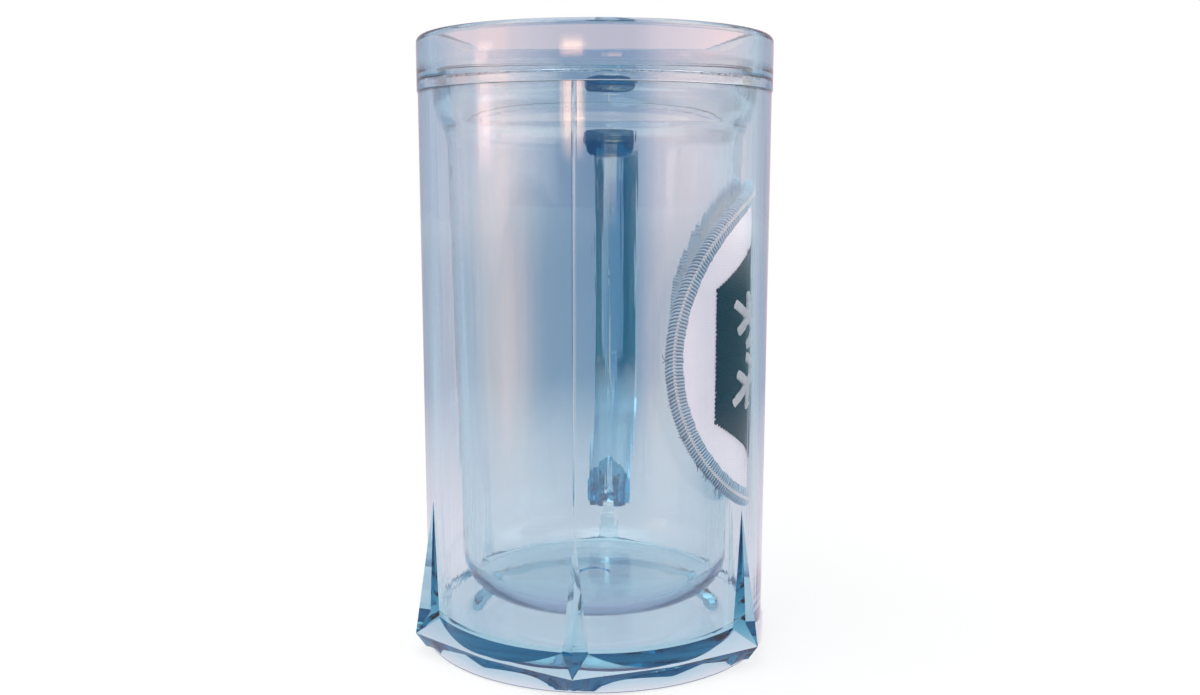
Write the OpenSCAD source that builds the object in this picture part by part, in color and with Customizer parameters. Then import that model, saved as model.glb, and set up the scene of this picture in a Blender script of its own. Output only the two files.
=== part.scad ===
// Double-wall freezer beer mug: a clear outer shell with a star-cut base, a clear inner cup
// lapped and welded into its mouth, a bonded handle, and a bent embroidered patch in the air gap.
// Z runs up the mug's axis from the table, the handle points to +Y and the patch faces +X.

/* [Overall] */
// Diameter over the lip band
rim_d = 90; // [84:1:100]
// Height from the table to the lip
mug_h = 155; // [145:1:180]

/* [Outer shell] */
// Wall of the outer shell
shell_wall = 3.4; // [2.8:0.1:3.8]
// How far the lip band stands proud of the shell below it
band_step = 0.25; // [0:0.05:0.5]
// Draft of the outside wall in degrees
shell_draft = 0.1; // [0:0.05:0.4]
// Height of the air gap's floor above the table
floor_z = 8.5; // [7:0.5:11]
// Fillet where the gap's floor meets the wall
gap_fillet = 2.5; // [1:0.5:4]
// Width of the ring that the mug stands on
foot_w = 9.5; // [6:0.5:14]
// Lift of the underside inside the foot ring
foot_lift = 1.5; // [0.5:0.25:3]
// Width over which the underside eases up from the foot ring
foot_ease = 7; // [2:0.5:12]
// Bevel round the edge of the foot ring
foot_bevel = 0.4; // [0.2:0.1:0.8]

/* [Star base] */
// Number of pointed ridges round the base
ridge_count = 6; // [5:1:8]
// Height at which a ridge runs out into the wall
ridge_top_z = 39.5; // [30:0.5:50]
// Height of the two corners at a ridge's foot
ridge_foot_z = 10; // [8.5:0.5:13]
// Width of a ridge between those corners
ridge_w = 6.6; // [4:0.2:9]
// Reach of a ridge's tip beyond the wall
tip_reach = 5.3; // [4:0.1:6.5]
// Height of the tips
tip_z = 5.5; // [4:0.5:7]
// Height of the crest halfway between two tips
valley_z = 5.2; // [3.5:0.1:7]
// Reach of the base circle, and of the crest halfway between two tips, beyond the wall
base_reach = 0.5; // [0.3:0.1:1]
// Reach of the heel under each tip beyond the wall
heel_reach = 2.7; // [1.5:0.1:3.2]
// Height of the heels
heel_z = 1.7; // [1.2:0.1:2.4]

/* [Lip and lap joint] */
// Height of the lip band
lip_h = 13.6; // [11:0.2:18]
// Thickness of the drinking lip
lip_wall = 4; // [3:0.1:5]
// Rounding of the lip's outer edge
lip_round = 1.6; // [0.5:0.1:1.8]
// Depth of the straight part of the lip inside
lip_depth = 6; // [3:0.5:9]
// How far the lip's skirt laps over the shell's tongue
lap_h = 2.1; // [1.5:0.1:4]
// Thickness of the tongue
tongue_wall = 1.1; // [0.8:0.1:1.5]
// Clearance all round the tongue and the collar
joint_gap = 0.15; // [0.1:0.05:0.3]
// Height of the weld bead on top of the tongue
weld_h = 0.5; // [0.3:0.1:0.8]

/* [Inner cup] */
// Air gap between the two walls just under the shoulder
gap_top = 3.8; // [3.5:0.1:5]
// Air gap between the two walls at the foot of the cup
gap_base = 6.3; // [4.5:0.1:8]
// Wall of the inner cup
cup_wall = 2.3; // [1.8:0.1:3]
// Floor of the inner cup
cup_floor = 3; // [2:0.25:4]
// Air gap under the cup
cup_lift = 4; // [2:0.5:8]
// Outside radius of the cup's bottom corner
cup_corner = 11; // [8:0.5:14]
// Height of the shoulder that flares out to the lip
shoulder_h = 14; // [11:0.5:17]
// Height of the ledge inside the shoulder, above the shoulder's foot
ledge_h = 5; // [3:0.5:7]
// Diameter of the gate mark in the cup's floor
gate_d = 8.6; // [6:0.2:12]
// Depth of the gate mark
gate_depth = 0.4; // [0.2:0.1:0.8]

/* [Handle] */
// Distance from the lip band down to the top of the handle
handle_drop = 5.4; // [3:0.2:12]
// Height where the middle of the lower arm meets the wall
handle_low_z = 29.3; // [26:0.1:36]
// Finger room between the wall and the grip
finger_gap = 28; // [24:1:36]
// Width of the handle at the upper arm and the grip
handle_w = 16.4; // [13:0.2:20]
// Width at the lower root
handle_low_w = 14; // [11:0.2:18]
// Thickness of the upper arm and the grip
handle_t = 10.6; // [9:0.2:13]
// Thickness at the lower root
handle_low_t = 13.4; // [10:0.2:15]
// Bend radius of the middle line at the upper corner
upper_bend = 15; // [11:0.5:20]
// Bend radius of the middle line at the lower corner
lower_bend = 26; // [20:0.5:32]
// Rise of the lower arm away from the wall, in degrees
lower_slope = 35; // [25:1:45]
// How sharply the finger side rises to a keel at the lower root, with 0 for none
low_keel = 1.8; // [0:0.1:2]
// Film of cement between the handle and the shell
bond_gap = 0.05; // [0.02:0.01:0.2]

/* [Patch] */
// Diameter of the patch laid flat
patch_d = 84; // [70:1:92]
// Height of the patch's centre
patch_z = 78; // [66:1:80]
// Clearance between the patch and the shell
patch_gap = 0.3; // [0.2:0.05:0.6]
// Width of the overlocked border
border_w = 4.2; // [3:0.1:6]
// Thickness of the border's thread under the backing
border_under = 0.45; // [0.3:0.05:0.6]
// Drop from the top of the border to the top of the stitching
stitch_drop = 0.1; // [0.05:0.05:0.3]
// How far the cloth runs into the border
cloth_tuck = 2.4; // [1:0.1:2.6]
// Thickness of the twill
twill_t = 0.6; // [0.4:0.05:0.7]
// Thickness of the stiff backing
backing_t = 0.5; // [0.3:0.05:0.6]
// Width of the stitched dark field between its upright edges
field_w = 56; // [40:1:62]
// Height of the field's stitching above the twill
field_t = 0.4; // [0.2:0.05:0.5]
// Diameter of the stitched snowflake
flake_d = 47; // [30:1:54]
// Width of the snowflake's bars
flake_bar = 2.6; // [1.6:0.1:3.4]
// Height of the snowflake's stitching above the field
flake_t = 0.35; // [0.2:0.05:0.45]

/* [Hidden] */
$fn = 128;

// Radii and heights that follow from the sizes above
rim_r = rim_d / 2;
lip_z = mug_h - lip_h;
shell_r = rim_r - band_step;
gap_r = shell_r - shell_wall;
foot_r = wall_r(0);
tongue_r = gap_r + tongue_wall;
tongue_z = lip_z + lap_h;
roof_z = tongue_z + weld_h;
ridge_step = 360 / ridge_count;
// Depth to which the cut facets are rooted in the wall
root_depth = 0.3;

// Radius of the outside wall at height z
function wall_r(z) = shell_r - (lip_z - z) * tan(shell_draft);
// A point at radius r, turned by angle a, at height z
function polar(r, a, z) = [r * cos(a), r * sin(a), z];
// Points along an arc round centre c
function arc(c, r, a0, a1, n = 12) =
    [for (i = [0:n]) c + r * [cos(a0 + (a1 - a0) * i / n), sin(a0 + (a1 - a0) * i / n)]];
// Points along a smooth S from p to q, upright at both ends
function ease_curve(p, q, n = 16) =
    [for (i = [0:n]) [p[0] + (q[0] - p[0]) * (1 - cos(180 * i / n)) / 2, p[1] + (q[1] - p[1]) * i / n]];

// Star base: tips and heels under the ridges, valleys between them, corners on the wall
foot_half_a = asin(ridge_w / 2 / wall_r(ridge_foot_z));
tip_r = foot_r + tip_reach;
crest_lean = (tip_r - wall_r(ridge_top_z)) / (ridge_top_z - tip_z);
crest_run = root_depth / crest_lean;

function ridge_corner(side) = polar(wall_r(ridge_foot_z) - root_depth, side * foot_half_a, ridge_foot_z);
function ridge_tip() = [tip_r, 0, tip_z];
function ridge_heel() = [foot_r + heel_reach, 0, heel_z];
function valley() = polar(foot_r + base_reach, ridge_step / 2, valley_z);
// The crest runs straight on past the point where it sinks into the wall
function ridge_apex() = [wall_r(ridge_top_z) - root_depth, 0, ridge_top_z + crest_run];

module ridge_wedge() {
    mid_z = (ridge_top_z + ridge_foot_z) / 2;
    back = [wall_r(mid_z) - shell_wall / 2, 0, mid_z];
    polyhedron(
        points = [ridge_apex(), ridge_tip(), ridge_corner(1), ridge_corner(-1), back],
        faces = [[0, 2, 1], [0, 1, 3], [1, 2, 3], [0, 4, 2], [0, 3, 4], [2, 4, 3]]);
}

module star_skirt() {
    hull() {
        translate([0, 0, foot_bevel])
            cylinder(r = foot_r + base_reach, h = heel_z / 4, $fn = 96);
        for (k = [0:ridge_count - 1])
            rotate(k * ridge_step)
                polyhedron(
                    points = [ridge_tip(), ridge_corner(1), ridge_corner(-1), valley(), ridge_heel()],
                    faces = [[0, 1, 2], [0, 3, 1], [0, 4, 3], [0, 2, 4], [1, 3, 2], [2, 3, 4]]);
    }
}

// Outside of the shell as one block, grown by extra; the first ridge points to the front, -Y
module shell_block(extra = 0) {
    rotate_extrude()
        polygon([[0, 0], [foot_r - foot_bevel + extra, 0], [foot_r + extra, foot_bevel],
                 [shell_r + extra, lip_z], [0, lip_z]]);
    rotate(-90)
        star_skirt();
    for (k = [0:ridge_count - 1])
        rotate(-90 + k * ridge_step)
            translate([extra, 0, 0])
                ridge_wedge();
}

module gap_space() {
    rotate_extrude()
        polygon(concat(
            [[0, floor_z]],
            arc([gap_r - gap_fillet, floor_z + gap_fillet], gap_fillet, -90, 0, 8),
            [[gap_r, mug_h], [0, mug_h]]));
}

// Hollow of the underside: it rises from the foot ring along an S that is level at both ends
module foot_hollow() {
    rotate_extrude()
        polygon(concat(
            [[0, -foot_lift], [foot_r - foot_w, -foot_lift]],
            [for (i = [0:10])
                [foot_r - foot_w - foot_ease * i / 10, foot_lift * (1 - cos(180 * i / 10)) / 2]],
            [[0, foot_lift]]));
}

module outer_shell() {
    color([0.72, 0.82, 0.92, 0.45])
        difference() {
            union() {
                shell_block();
                translate([0, 0, lip_z - lap_h])
                    cylinder(r = tongue_r, h = 2 * lap_h);
            }
            gap_space();
            foot_hollow();
        }
}

// Inner cup: outside and inside curves of its wall, lip included
cup_z = floor_z + cup_lift;
cup_foot_r = gap_r - gap_base;
cup_top_r = gap_r - gap_top;
shoulder_z = lip_z - shoulder_h;
collar_r = gap_r - joint_gap;
skirt_r = tongue_r + joint_gap;
lip_r = rim_r - lip_wall;
inner_corner = cup_corner - cup_wall;
ledge_z = shoulder_z + ledge_h;

// Outside radius of the shoulder at height z, the same curve as in cup_outside
function shoulder_r(z) =
    cup_top_r + (collar_r - cup_top_r) * (1 - cos(180 * (z - shoulder_z) / shoulder_h)) / 2;

function cup_outside() = concat(
    [[0, cup_z]],
    arc([cup_foot_r - cup_corner, cup_z + cup_corner], cup_corner, -90, 0),
    ease_curve([cup_top_r, shoulder_z], [collar_r, lip_z]),
    [[collar_r, roof_z], [skirt_r, roof_z], [skirt_r, lip_z], [rim_r, lip_z]]);

function cup_inside() = concat(
    arc([rim_r - lip_round, mug_h - lip_round], lip_round, 0, 90, 6),
    arc([lip_r + lip_round, mug_h - lip_round], lip_round, 90, 180, 6),
    ease_curve([lip_r, mug_h - lip_depth], [shoulder_r(ledge_z) - cup_wall, ledge_z]),
    [for (i = [1:6]) let (z = ledge_z - ledge_h * i / 6) [shoulder_r(z) - cup_wall, z]],
    arc([cup_foot_r - cup_corner, cup_z + cup_floor + inner_corner], inner_corner, 0, -90),
    [[gate_d / 2, cup_z + cup_floor], [gate_d / 2 - gate_depth, cup_z + cup_floor - gate_depth],
     [0, cup_z + cup_floor - gate_depth]]);

module inner_cup() {
    color([0.78, 0.85, 0.93, 0.45])
        rotate_extrude()
            polygon(concat(cup_outside(), cup_inside()));
}

module rim_weld() {
    color([0.55, 0.68, 0.80])
        translate([0, 0, tongue_z])
            difference() {
                cylinder(r = tongue_r, h = weld_h);
                translate([0, 0, -weld_h])
                    cylinder(r = gap_r, h = 3 * weld_h);
            }
}

// Handle: a D section carried along a middle line in the plane X = 0
root_y = shell_r - shell_wall;
grip_y = shell_r + finger_gap + handle_t / 2;
arm_z = lip_z - handle_drop - handle_t / 2;
low_arc_y = grip_y - lower_bend;
low_end_y = low_arc_y + lower_bend * sin(lower_slope);
low_end_z = handle_low_z + (low_end_y - shell_r) * tan(lower_slope);
low_arc_z = low_end_z + lower_bend * cos(lower_slope);
low_root_z = handle_low_z + (root_y - shell_r) * tan(lower_slope);
section_sides = 28;
bend_rings = 12;
// Powers that shape the D section: across it, on its flat outer side and on its round finger side
across_power = 0.6;
flat_power = 0.45;
round_power = 0.9;

// Stations from the upper root to the lower one: y, z, direction of travel, share of the way down
function station(y, z, heading, down) = [y, z, heading, down];
handle_stations = concat(
    [station(root_y, arm_z, 0, 0)],
    [for (i = [0:bend_rings])
        station(grip_y - upper_bend + upper_bend * sin(90 * i / bend_rings),
                arm_z - upper_bend + upper_bend * cos(90 * i / bend_rings), -90 * i / bend_rings, 0)],
    [for (i = [0:bend_rings])
        let (turn = (90 - lower_slope) * i / bend_rings)
        station(low_arc_y + lower_bend * cos(turn), low_arc_z - lower_bend * sin(turn), -90 - turn,
                0.5 * i / bend_rings)],
    [station(root_y, low_root_z, lower_slope - 180, 1)]);

// Half outline of a rounded form: power 1 is an ellipse, a smaller power is squarer
function soft(v, power) = sign(v) * pow(abs(v), power);
// One ring of the D section: flat on the outer side of the loop, round on the finger side, which
// sharpens to a keel on the way down
function handle_ring(s) =
    let (w = handle_w + (handle_low_w - handle_w) * s[3],
         t = handle_t + (handle_low_t - handle_t) * s[3],
         finger_power = across_power + low_keel * s[3])
    [for (i = [0:section_sides - 1])
        let (a = 360 * i / section_sides,
             across = w / 2 * soft(cos(a), sin(a) > 0 ? across_power : finger_power),
             out = t / 2 * soft(sin(a), sin(a) > 0 ? flat_power : round_power))
        [across, s[0] - out * sin(s[2]), s[1] + out * cos(s[2])]];

module swept(rings) {
    n = len(rings[0]);
    last = len(rings) - 1;
    polyhedron(
        points = [for (ring = rings) each ring],
        faces = concat(
            [[for (i = [0:n - 1]) i]],
            [for (k = [0:last - 1], i = [0:n - 1])
                [k * n + i, (k + 1) * n + i, (k + 1) * n + (i + 1) % n, k * n + (i + 1) % n]],
            [[for (i = [n - 1:-1:0]) last * n + i]]));
}

module handle() {
    color([0.45, 0.66, 0.80, 0.6])
        difference() {
            swept([for (s = handle_stations) handle_ring(s)]);
            shell_block(bond_gap);
        }
}

// Patch: cut flat, then bent round the mug's axis against the inside of the shell
border_r = gap_r - patch_gap;
flake_r = border_r - stitch_drop;
field_r = flake_r - flake_t;
twill_r = field_r - field_t;
cloth_r = twill_r - twill_t;
backing_r = cloth_r - backing_t;
border_t = border_r - backing_r + border_under;
border_mid_r = border_r - border_t / 2;
cloth_edge = patch_d / 2 - border_w + cloth_tuck;
border_mid = patch_d / 2 - border_w / 2;
border_rings = 96;
border_sides = 12;
edge_steps = 8;

// A flat point (across, up) seen along X once it is bent round the axis
function bent(p) = [cloth_r * sin(p[0] / cloth_r * 180 / PI), p[1] + patch_z];
// The same flat point in space, at radius r
function bent_at(p, r) =
    let (a = p[0] / cloth_r * 180 / PI) [r * cos(a), r * sin(a), p[1] + patch_z];
// Points along a closed flat outline, close enough to bend smoothly
function dense(outline, n = edge_steps) =
    [for (i = [0:len(outline) - 1], k = [0:n - 1])
        outline[i] + (outline[(i + 1) % len(outline)] - outline[i]) * k / n];
function circle_outline(r, n = 72) = [for (i = [0:n - 1]) r * [cos(360 * i / n), sin(360 * i / n)]];
function hexagon_outline(w) = [for (i = [0:5]) w / sqrt(3) * [cos(60 * i + 30), sin(60 * i + 30)]];
// A bar of width w from flat point p to flat point q
function bar_outline(p, q, w) =
    let (d = (q - p) / norm(q - p) * w / 2, s = [-d[1], d[0]])
    [p - d + s, q + d + s, q + d - s, p - d - s];

// A layer of the patch between two radii, cut to the outlines given as children
module bent_layer(r_in, r_out) {
    intersection() {
        rotate_extrude()
            translate([r_in, 0])
                square([r_out - r_in, mug_h]);
        rotate([90, 0, 90])
            linear_extrude(height = rim_d)
                children();
    }
}

module patch_backing() {
    color([0.80, 0.82, 0.84])
        bent_layer(backing_r, cloth_r)
            polygon([for (p = circle_outline(cloth_edge)) bent(p)]);
}

module patch_twill() {
    color([0.93, 0.94, 0.95])
        bent_layer(cloth_r, twill_r)
            polygon([for (p = circle_outline(cloth_edge)) bent(p)]);
}

function border_ring(turn) =
    [for (i = [0:border_sides - 1])
        let (a = 360 * i / border_sides,
             flat_r = border_mid + border_w / 2 * soft(cos(a), 0.8),
             rise = border_t / 2 * soft(sin(a), 0.8))
        bent_at(flat_r * [cos(turn), sin(turn)], border_mid_r + rise)];

module patch_border() {
    rings = [for (k = [0:border_rings - 1]) border_ring(360 * k / border_rings)];
    n = border_sides;
    color([0.68, 0.73, 0.76])
        difference() {
            polyhedron(
                points = [for (ring = rings) each ring],
                faces = [for (k = [0:border_rings - 1], i = [0:n - 1])
                    let (next = (k + 1) % border_rings)
                    [k * n + i, k * n + (i + 1) % n, next * n + (i + 1) % n, next * n + i]]);
            bent_layer(backing_r, twill_r)
                polygon([for (p = circle_outline(cloth_edge)) bent(p)]);
        }
}

module patch_field() {
    color([0.02, 0.16, 0.22])
        bent_layer(twill_r, field_r)
            polygon([for (p = dense(hexagon_outline(field_w))) bent(p)]);
}

// Each arm of the snowflake has two pairs of twigs, given as shares of the arm's length
flake_twigs = [[0.42, 0.26], [0.70, 0.22]];
twig_angle = 60;

module flake_arm(turn) {
    arm = flake_d / 2;
    along = [cos(turn), sin(turn)];
    polygon([for (p = dense(bar_outline([0, 0], arm * along, flake_bar))) bent(p)]);
    for (twig = flake_twigs, side = [-1, 1]) {
        foot = arm * twig[0] * along;
        reach = arm * twig[1] * [cos(turn + side * twig_angle), sin(turn + side * twig_angle)];
        polygon([for (p = dense(bar_outline(foot, foot + reach, flake_bar))) bent(p)]);
    }
}

module patch_snowflake() {
    color([0.92, 0.94, 0.96])
        bent_layer(field_r, flake_r)
            for (k = [0:5])
                flake_arm(30 + 60 * k);
}

outer_shell();
inner_cup();
rim_weld();
handle();
patch_backing();
patch_twill();
patch_border();
patch_field();
patch_snowflake();
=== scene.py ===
import bmesh
import bpy
import numpy as np
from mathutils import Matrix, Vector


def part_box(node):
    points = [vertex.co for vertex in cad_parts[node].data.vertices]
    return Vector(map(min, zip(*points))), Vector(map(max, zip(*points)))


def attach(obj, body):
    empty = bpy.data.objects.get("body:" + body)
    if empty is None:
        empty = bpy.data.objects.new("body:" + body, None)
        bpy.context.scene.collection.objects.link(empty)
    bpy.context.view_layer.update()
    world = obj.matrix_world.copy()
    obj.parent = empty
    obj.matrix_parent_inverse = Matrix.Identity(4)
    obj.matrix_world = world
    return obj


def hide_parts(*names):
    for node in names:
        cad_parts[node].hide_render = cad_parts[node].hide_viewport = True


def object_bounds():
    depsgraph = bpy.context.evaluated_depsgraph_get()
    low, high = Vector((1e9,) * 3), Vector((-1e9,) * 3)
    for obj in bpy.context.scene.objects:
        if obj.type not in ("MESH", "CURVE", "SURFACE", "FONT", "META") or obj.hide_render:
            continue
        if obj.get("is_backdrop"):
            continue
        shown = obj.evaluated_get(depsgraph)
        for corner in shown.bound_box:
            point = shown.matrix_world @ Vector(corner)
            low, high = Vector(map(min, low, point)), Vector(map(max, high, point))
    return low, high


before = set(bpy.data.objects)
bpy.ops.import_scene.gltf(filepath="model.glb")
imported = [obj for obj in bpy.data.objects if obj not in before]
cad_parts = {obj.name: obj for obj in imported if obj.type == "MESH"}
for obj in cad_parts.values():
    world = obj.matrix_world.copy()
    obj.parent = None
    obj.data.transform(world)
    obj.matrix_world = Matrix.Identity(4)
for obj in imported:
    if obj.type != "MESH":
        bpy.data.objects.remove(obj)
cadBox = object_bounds()
scene = bpy.context.scene
scene.view_settings.view_transform = "Standard"
mm = 0.001  # sizes below are in millimetres, meshes in metres
tiny = 1e-9  # counts as nothing
print("frame loaded:", ", ".join(sorted(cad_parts)))


def nodeBox(node):  # lowest and highest corner of a CAD node, in millimetres
    low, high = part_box(node)
    return np.array(low) / mm, np.array(high) / mm


cupLow, cupHigh = nodeBox("inner_cup")
shellLow = nodeBox("outer_shell")[0]
weldLow, weldHigh = nodeBox("rim_weld")
handleHigh = nodeBox("handle")[1]
borderLow, borderHigh = nodeBox("patch_border")
twillHigh = nodeBox("patch_twill")[1]
backingHigh = nodeBox("patch_backing")[1]
fieldLow, fieldHigh = nodeBox("patch_field")
flakeLow, flakeHigh = nodeBox("patch_snowflake")


# Mesh tools


def soft(value, power):  # sign(v) times |v| to a power: below 1 an ellipse grows squarer
    return np.sign(value) * np.abs(value) ** power


def arcPoints(centre, radius, first, last, count):  # (r, z) along an arc, angles in degrees
    turn = np.radians(np.linspace(first, last, count))
    return np.stack([centre[0] + radius * np.cos(turn), centre[1] + radius * np.sin(turn)], -1)


def easePoints(first, last, count):  # (r, z) along an S that is upright at both ends
    share = np.linspace(0, 1, count)
    r = first[0] + (last[0] - first[0]) * (1 - np.cos(np.pi * share)) / 2
    return np.stack([r, first[1] + (last[1] - first[1]) * share], -1)


def revolved(profile, angles):  # profile (rows, 2) or (rows, columns, 2) of r and z, carried round Z
    profile = np.asarray(profile, float)
    if profile.ndim == 2:
        profile = np.repeat(profile[:, None, :], len(angles), 1)
    r, z = profile[..., 0], profile[..., 1]
    return np.stack([r * np.cos(angles), r * np.sin(angles), z], -1)


def gridQuads(rows, columns, wrapped):  # four corners of every cell of a grid, as row and column
    r, c = np.meshgrid(np.arange(rows - 1), np.arange(columns if wrapped else columns - 1), indexing="ij")
    return np.stack([r, r, r + 1, r + 1], -1), np.stack([c, c + 1, c + 1, c], -1)


def buildPiece(name, grids, material, node, sharpAngle=30.0, mergeAt=1e-4):
    # each grid is (points in mm [rows, columns, 3], wrapped, uv [rows, columns + wrapped, 2] or None),
    # and a fourth item gives every point's painted shade, from 0 for a dark gap to 1
    points, corners, flat, shades, first = [], [], [], [], 0
    for grid, wrapped, uv, *shade in grids:
        rows, columns = grid.shape[:2]
        r, c = gridQuads(rows, columns, wrapped)
        corners.append((first + r * columns + c % columns).reshape(-1, 4))
        if uv is None:
            share = np.stack([c / columns, r / (rows - 1)], -1)
        else:
            share = uv[r, c]
        flat.append(share.reshape(-1, 2))
        points.append(grid.reshape(-1, 3))
        shades.append(shade[0].ravel() if shade else np.ones(rows * columns))
        first += rows * columns
    points, corners, flat = np.concatenate(points) * mm, np.concatenate(corners), np.concatenate(flat)
    mesh = bpy.data.meshes.new(name)
    mesh.vertices.add(len(points))
    mesh.vertices.foreach_set("co", points.astype(np.float32).ravel())
    mesh.loops.add(corners.size)
    mesh.loops.foreach_set("vertex_index", corners.astype(np.int32).ravel())
    mesh.polygons.add(len(corners))
    mesh.polygons.foreach_set("loop_start", np.arange(0, corners.size, 4, dtype=np.int32))
    mesh.update(calc_edges=True)
    mesh.uv_layers.new(name="UVMap").uv.foreach_set("vector", flat.astype(np.float32).ravel())
    shade = mesh.attributes.new("shade", "FLOAT", "POINT")
    shade.data.foreach_set("value", np.concatenate(shades).astype(np.float32))
    work = bmesh.new()
    work.from_mesh(mesh)
    bmesh.ops.remove_doubles(work, verts=work.verts, dist=mergeAt * mm)  # poles and empty cells close
    bmesh.ops.recalc_face_normals(work, faces=work.faces)
    work.to_mesh(mesh)
    work.free()
    mesh.shade_smooth()
    mesh.set_sharp_from_angle(angle=np.radians(sharpAngle))
    mesh.materials.append(material)
    piece = bpy.data.objects.new(name, mesh)
    scene.collection.objects.link(piece)
    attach(piece, "root")
    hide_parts(node)
    print(name, "built:", len(mesh.polygons), "faces")
    return piece


# Shader tools


def nodeMaker(tree):  # adds a node, with inputs given by name or number: a value is set, a socket is linked
    def add(kind, inputs=None, **settings):
        node = tree.nodes.new(kind)
        for key, value in settings.items():
            setattr(node, key, value)
        for key, value in (inputs or {}).items():
            if isinstance(value, bpy.types.NodeSocket):
                tree.links.new(value, node.inputs[key])
            else:
                node.inputs[key].default_value = value
        return node

    def math(kind, a, b=0.0):
        return add("ShaderNodeMath", {0: a, 1: b}, operation=kind).outputs[0]

    def ranged(value, low, high, first=0.0, last=1.0):  # low becomes first and high becomes last
        return add("ShaderNodeMapRange", {"Value": value, "From Min": low, "From Max": high,
                                          "To Min": first, "To Max": last}).outputs[0]

    def mixed(share, none, whole):  # a colour between two, by share
        return add("ShaderNodeMix", {"Factor": share, 6: none, 7: whole}, data_type="RGBA").outputs[2]

    add.math, add.ranged, add.mixed = math, ranged, mixed
    return add


def newGroup(name, inputs, outputs):  # an empty shader group, its sockets given by name and kind
    tree = bpy.data.node_groups.new(name, "ShaderNodeTree")
    for way, sockets in (("INPUT", inputs), ("OUTPUT", outputs)):
        for label, kind in sockets.items():
            tree.interface.new_socket(label, in_out=way, socket_type="NodeSocket" + kind)
    add = nodeMaker(tree)
    return tree, add, add("NodeGroupInput").outputs, add("NodeGroupOutput").inputs


def newMaterial(name):
    material = bpy.data.materials.new(name)
    material.use_nodes = True
    material.node_tree.nodes.clear()
    return material, nodeMaker(material.node_tree)


def useGroup(add, tree, values):
    return add("ShaderNodeGroup", values, node_tree=tree).outputs


# Moulded plastic: slow upright flow waves bend the normal, faint scuffs roughen the polish


flowSpec = {
    "waveFlat": 0.16, "waveDetail": 1.0, "waveRough": 0.4,  # a wave's scale along Z, and its grain
    "streakFlat": 0.04, "streakScale": 600.0, "streakDetail": 2.0,
    "scuffScale": 420.0, "scuffDetail": 4.0, "scuffRough": 0.7, "scuffFrom": 0.5, "scuffTo": 0.8,
}


def makeFlowGroup():
    f = flowSpec
    tree, add, given, out = newGroup(
        "mouldedFlow",
        dict.fromkeys(("Wave Scale", "Wave Height", "Streak", "Polish", "Scuff"), "Float"),
        {"Roughness": "Float", "Normal": "Vector"})
    place = add("ShaderNodeTexCoord").outputs["Object"]
    upright = add("ShaderNodeMapping", {"Vector": place, "Scale": (1.0, 1.0, f["waveFlat"])})
    wave = add("ShaderNodeTexNoise", {"Vector": upright.outputs[0], "Scale": given["Wave Scale"],
                                      "Detail": f["waveDetail"], "Roughness": f["waveRough"]})
    drawn = add("ShaderNodeMapping", {"Vector": place, "Scale": (1.0, 1.0, f["streakFlat"])})
    streak = add("ShaderNodeTexNoise", {"Vector": drawn.outputs[0], "Scale": f["streakScale"],
                                        "Detail": f["streakDetail"]})
    height = add("ShaderNodeMath", {0: streak.outputs["Fac"], 1: given["Streak"], 2: wave.outputs["Fac"]},
                 operation="MULTIPLY_ADD")
    bump = add("ShaderNodeBump", {"Height": height.outputs[0], "Distance": given["Wave Height"],
                                  "Strength": 1.0})
    scuff = add("ShaderNodeTexNoise", {"Vector": place, "Scale": f["scuffScale"], "Detail": f["scuffDetail"],
                                       "Roughness": f["scuffRough"]})
    rough = add.ranged(scuff.outputs["Fac"], f["scuffFrom"], f["scuffTo"], given["Polish"], given["Scuff"])
    tree.links.new(rough, out["Roughness"])
    tree.links.new(bump.outputs[0], out["Normal"])
    return tree


flowGroup = makeFlowGroup()


def clearPlastic(name, look):  # clear polish on the surface, blue absorption in the depth, and painted shade on bands where a look gives one
    material, add = newMaterial(name)
    flow = useGroup(add, flowGroup, {
        "Wave Scale": look["waveScale"], "Wave Height": look["waveHeight"], "Streak": look["streak"],
        "Polish": look["polish"], "Scuff": look["scuff"]})
    tint = look["tint"]
    if "paintedEdgeShade" in look:  # painted shade: a darker colour on a band of the surface, front faces only, given by its own flat coordinates
        flat = add("ShaderNodeSeparateXYZ", {0: add("ShaderNodeUVMap", uv_map="UVMap").outputs[0]}).outputs
        bands = [add.ranged(flat["Y"], *look["edgeDown"]),
                 add.math("SUBTRACT", 1.0, add("ShaderNodeNewGeometry").outputs["Backfacing"])]
        if "edgeSide" in look:  # only along both edges, and on the finger side
            turn = add.math("ADD", add.math("MULTIPLY", flat["X"], 2 * np.pi), look["edgeShift"])
            bands += [add.ranged(add.math("ABSOLUTE", add.math("COSINE", turn)), *look["edgeSide"]),
                      add.ranged(add.math("SINE", turn), *look["edgeFace"])]
        share = add.ranged(flat["Y"], *look["edgeTop"])
        for band in bands:
            share = add.math("MULTIPLY", share, band)
        # the band's painted shade is mixed over the plastic's own tint
        tint = add.mixed(share, tint, look["paintedEdgeShade"])
        if "paintedCapShade" in look:
            # painted shade over the sunk upper end of the handle
            tint = add.mixed(add.ranged(flat["Y"], *look["capDown"]), tint, look["paintedCapShade"])
    shader = add("ShaderNodeBsdfPrincipled", {
        "Base Color": tint, "IOR": look["ior"], "Transmission Weight": 1.0,
        "Roughness": flow["Roughness"], "Normal": flow["Normal"]})
    depth = add("ShaderNodeVolumeAbsorption", {"Color": look["absorb"], "Density": look["density"]})
    add("ShaderNodeOutputMaterial", {"Surface": shader.outputs[0], "Volume": depth.outputs[0]})
    return material


plasticLook = {
    "tint": (1.0, 1.0, 1.0, 1.0), "ior": 1.52, "polish": 0.0, "scuff": 0.03,
    "absorb": (0.03, 0.645, 0.774, 1.0), "density": 62.0,  # per metre
    "waveScale": 55.0, "waveHeight": 0.00012, "streak": 0.15,
}


# Outer shell


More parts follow.
